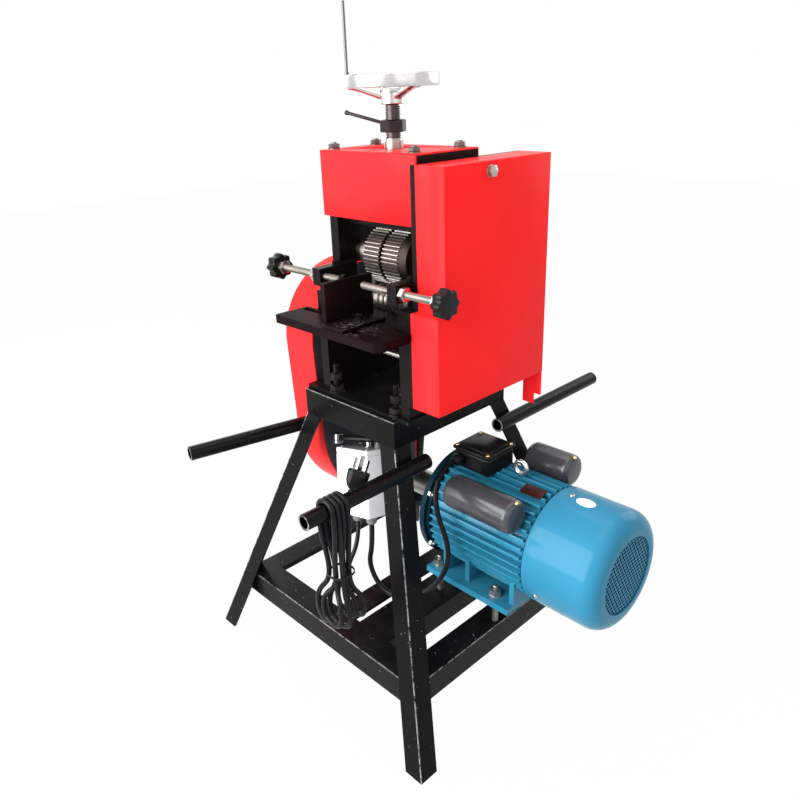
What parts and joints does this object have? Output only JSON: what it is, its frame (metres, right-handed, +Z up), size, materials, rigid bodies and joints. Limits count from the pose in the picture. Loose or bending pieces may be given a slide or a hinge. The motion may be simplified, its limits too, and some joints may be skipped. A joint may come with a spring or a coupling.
{
  "type": "wire stripping machine",
  "caption": "Motor-driven wire stripping machine on a splayed angle-iron stand, with handwheel-set feed rollers, red covers and a coiled mains cord.",
  "frame": {"origin": "on the floor under the middle of the stand, between the four feet", "axes": "+Z is up, +X points to the gear cover and the motor's fan, -Y is the front where the wire goes in"},
  "size_m": [0.603, 0.6318, 0.962],
  "materials": {
    "frame_paint": "satin black paint over mill scale",
    "head_paint": "gloss black paint",
    "red_sheet": "gloss red powder coat",
    "bright_steel": "turned steel",
    "chrome": "chrome plate",
    "zinc": "zinc plate",
    "cast_grey": "cast iron",
    "motor_teal": "gloss teal enamel",
    "black_plastic": "moulded black plastic",
    "switch_grey": "light grey enamel",
    "rubber": "black rubber",
    "tie_plastic": "clear nylon"
  },
  "bodies": {
    "stand": {"base_plate": "frame_paint", "belt": "rubber", "belt_guard": "red_sheet", "brace_ring": "frame_paint", "capacitor_covers": "black_plastic", "carrying_handles": "frame_paint", "cord_hank": "rubber", "end_shields": "motor_teal", "fan_cover": "motor_teal", "feed_table": "head_paint", "frame_bolts": "zinc", "gear_case_plate": "head_paint", "gear_cover": "red_sheet", "guard_back_plate": "head_paint", "guide_lugs": "head_paint", "hank_tie": "tie_plastic", "head_cover": "red_sheet", "head_top_plate": "head_paint", "leg_front_left": "frame_paint", "leg_front_right": "frame_paint", "leg_rear_left": "frame_paint", "leg_rear_right": "frame_paint", "lower_bearings": "cast_grey", "motor_cable": "rubber", "motor_cross_members": "frame_paint", "motor_housing": "motor_teal", "motor_studs": "zinc", "plug_cord": "rubber", "power_plug": "rubber", "shaft_bearings": "cast_grey", "side_plate_left": "head_paint", "side_plate_right": "head_paint", "spindle_nut": "chrome", "supply_cord": "rubber", "switch_hanger": "frame_paint", "switch_housing": "switch_grey", "terminal_box": "black_plastic", "tie_rod": "bright_steel", "top_ring": "frame_paint"},
    "motor_rotor": {"motor_rotor": "bright_steel", "motor_fan": "black_plastic", "drive_extension": "bright_steel", "motor_pulley": "cast_grey"},
    "input_shaft": {"input_shaft": "bright_steel", "driven_pulley": "cast_grey"},
    "lay_gears": {"lay_gears": "bright_steel"},
    "lower_roller": {"lower_roller": "bright_steel", "lower_roller_gears": "bright_steel"},
    "roller_carriage": {"sliding_bearings": "head_paint", "pressure_bar": "head_paint"},
    "upper_roller": {"upper_roller": "bright_steel", "upper_roller_gear": "bright_steel"},
    "handwheel": {"spindle": "bright_steel", "handwheel": "chrome", "crank_rod": "chrome"},
    "lock_nut": {"lock_nut": "bright_steel"},
    "fence": {"fence_plate": "head_paint"},
    "guide_screw_left": {"guide_screw_left": "zinc"},
    "guide_screw_right": {"guide_screw_right": "zinc"},
    "switch_lever": {"switch_lever": "black_plastic"}
  },
  "joints": [
    {"name": "motor_turn", "type": "hinge", "parent": "stand", "child": "motor_rotor", "pos_m": [0.15, 0.057, 0.24], "axis": [1, 0, 0], "continuous": true},
    {"name": "input_turn", "type": "hinge", "parent": "stand", "child": "input_shaft", "pos_m": [0.02, 0.0147, 0.5063], "axis": [1, 0, 0], "continuous": true},
    {"name": "lay_turn", "type": "hinge", "parent": "stand", "child": "lay_gears", "pos_m": [0.145, 0.04621, 0.58254], "axis": [1, 0, 0], "continuous": true},
    {"name": "lower_roller_turn", "type": "hinge", "parent": "stand", "child": "lower_roller", "pos_m": [0.024, -0.03, 0.585], "axis": [1, 0, 0], "continuous": true},
    {"name": "upper_roller_turn", "type": "hinge", "parent": "roller_carriage", "child": "upper_roller", "pos_m": [0.024, -0.03, 0.648], "axis": [1, 0, 0], "continuous": true},
    {"name": "carriage_slide", "type": "slide", "parent": "stand", "child": "roller_carriage", "axis": [0, 0, 1], "range_m": [0, 0.004]},
    {"name": "handwheel_turn", "type": "hinge", "parent": "roller_carriage", "child": "handwheel", "pos_m": [0.024, -0.03, 0.84], "axis": [0, 0, 1], "range_deg": [0, 576]},
    {"name": "lock_nut_turn", "type": "hinge", "parent": "handwheel", "child": "lock_nut", "pos_m": [0.024, -0.03, 0.816], "axis": [0, 0, 1], "range_deg": [-30, 30]},
    {"name": "fence_slide", "type": "slide", "parent": "stand", "child": "fence", "axis": [1, 0, 0], "range_m": [-0.012, 0.012]},
    {"name": "guide_screw_left_turn", "type": "hinge", "parent": "fence", "child": "guide_screw_left", "pos_m": [-0.05, -0.112, 0.626], "axis": [1, 0, 0], "range_deg": [-2880, 2880]},
    {"name": "guide_screw_right_turn", "type": "hinge", "parent": "fence", "child": "guide_screw_right", "pos_m": [0.12, -0.112, 0.626], "axis": [1, 0, 0], "range_deg": [-2880, 2880]},
    {"name": "switch_lever_turn", "type": "hinge", "parent": "stand", "child": "switch_lever", "pos_m": [-0.02584, -0.05816, 0.34804], "axis": [-0.2067, 0.2067, 0.9563], "range_deg": [-45, 45]}
  ],
  "couplings": [
    {"joint": "input_turn", "follows": "motor_turn", "ratio": 0.36471},
    {"joint": "lay_turn", "follows": "motor_turn", "ratio": -0.13676},
    {"joint": "lower_roller_turn", "follows": "motor_turn", "ratio": 0.05725},
    {"joint": "upper_roller_turn", "follows": "motor_turn", "ratio": -0.042938},
    {"joint": "handwheel_turn", "follows": "carriage_slide", "rad_per_m": 2513.3},
    {"joint": "guide_screw_left_turn", "follows": "fence_slide", "rad_per_m": 4188.8},
    {"joint": "guide_screw_right_turn", "follows": "fence_slide", "rad_per_m": 4188.8}
  ]
}
